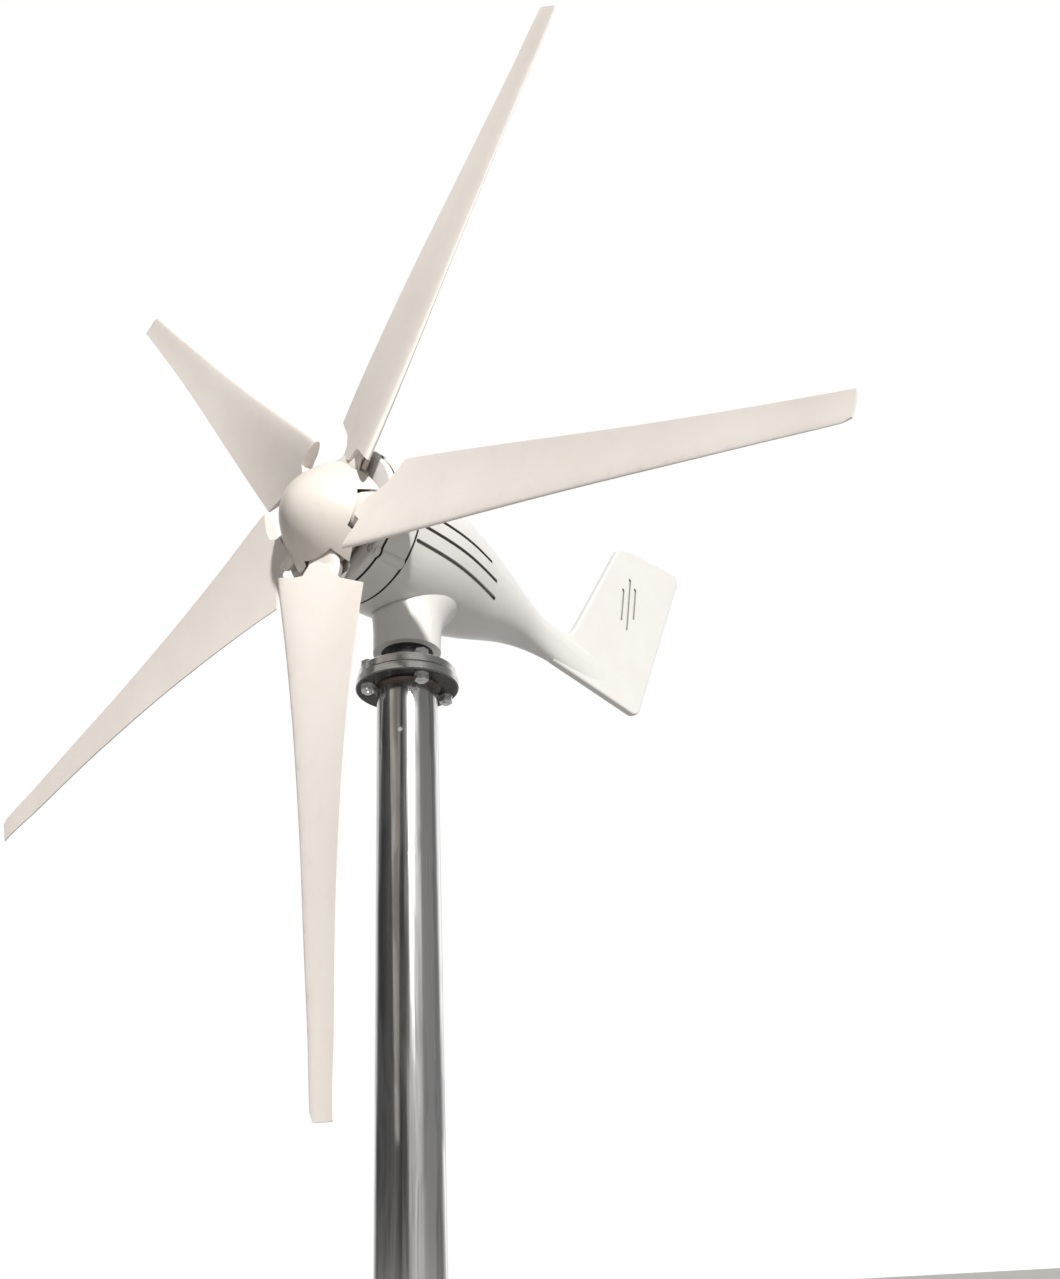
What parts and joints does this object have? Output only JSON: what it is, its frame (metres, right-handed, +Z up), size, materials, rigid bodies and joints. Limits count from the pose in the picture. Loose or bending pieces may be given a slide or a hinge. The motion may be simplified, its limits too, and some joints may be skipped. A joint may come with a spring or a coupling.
{
  "type": "small horizontal-axis wind turbine",
  "caption": "Small pole-mounted wind turbine with a multi-blade upwind rotor, direct-drive generator, tapering nacelle with a swept tail fin, and a flanged yaw head on a steel mast.",
  "frame": {"origin": "centre of the mast's foot", "axes": "+Z up the mast, -Y towards the spinner's nose at rest, +X to the right seen from the front"},
  "size_m": [1.1463, 0.7414, 1.4236],
  "materials": {
    "powder_coat": "white powder coat over die-cast aluminium, satin",
    "blade_nylon": "warm white glass-filled nylon, satin",
    "spinner_nylon": "warm white nylon, satin",
    "hub_metal": "turned aluminium",
    "polished_stainless": "polished stainless steel",
    "machined_steel": "machined and plated steel",
    "weld_steel": "brushed weld bead",
    "shaft_steel": "ground steel",
    "bearing_steel": "polished bearing steel",
    "zinc_fastener": "zinc plate",
    "lamination_steel": "varnished steel laminations",
    "magnet": "nickel plate",
    "copper": "enamelled copper",
    "slip_brass": "turned brass",
    "black_rubber": "matte",
    "insulator": "moulded",
    "carbon": "pressed carbon",
    "lead_sleeve": "insulated lead",
    "cast_aluminium": "as cast"
  },
  "bodies": {
    "mast": {"mast_tube": "polished_stainless", "mast_weld": "weld_steel", "mast_flange": "machined_steel", "flange_gasket": "black_rubber", "yaw_flange": "machined_steel", "flange_bolts": "zinc_fastener", "flange_nuts": "zinc_fastener", "flange_washers": "zinc_fastener", "yaw_shaft": "shaft_steel", "yaw_bearing_inner_rings": "bearing_steel", "yaw_bearing_balls": "bearing_steel", "yaw_spacer": "shaft_steel", "yaw_lock_nut": "zinc_fastener", "slip_ring_core": "insulator", "slip_rings": "slip_brass"},
    "nacelle": {"nacelle_shell": "powder_coat", "generator_drum": "powder_coat", "front_cover": "powder_coat", "front_seam_gasket": "black_rubber", "rear_seam_gasket": "black_rubber", "cover_screws": "zinc_fastener", "stator_core": "lamination_steel", "stator_coils": "copper", "rear_bearing_plate": "cast_aluminium", "shaft_seal": "black_rubber", "generator_leads": "lead_sleeve", "front_bearing_outer_ring": "bearing_steel", "rear_bearing_outer_ring": "bearing_steel", "yaw_bearing_outer_rings": "bearing_steel", "yaw_seal": "black_rubber", "brush_holder": "insulator", "brushes": "carbon", "brush_springs": "shaft_steel", "brush_screws": "zinc_fastener"},
    "rotor": {"main_shaft": "shaft_steel", "shaft_key": "shaft_steel", "rotor_core": "lamination_steel", "magnets": "magnet", "front_bearing_inner_ring": "bearing_steel", "rear_bearing_inner_ring": "bearing_steel", "rotor_bearing_balls": "bearing_steel", "hub_plate": "hub_metal", "blade_1": "blade_nylon", "blade_2": "blade_nylon", "blade_3": "blade_nylon", "blade_4": "blade_nylon", "blade_5": "blade_nylon", "blade_bolts": "zinc_fastener", "blade_washers": "zinc_fastener", "blade_nuts": "zinc_fastener", "shaft_washer": "zinc_fastener", "shaft_nut": "zinc_fastener", "spinner": "spinner_nylon", "spinner_screws": "zinc_fastener"}
  },
  "joints": [
    {"name": "yaw", "type": "hinge", "parent": "mast", "child": "nacelle", "pos_m": [0, 0, 0.8], "axis": [0, 0, 1], "continuous": true},
    {"name": "rotor_spin", "type": "hinge", "parent": "nacelle", "child": "rotor", "pos_m": [0, -0.127, 0.92], "axis": [0, 1, 0], "continuous": true}
  ]
}
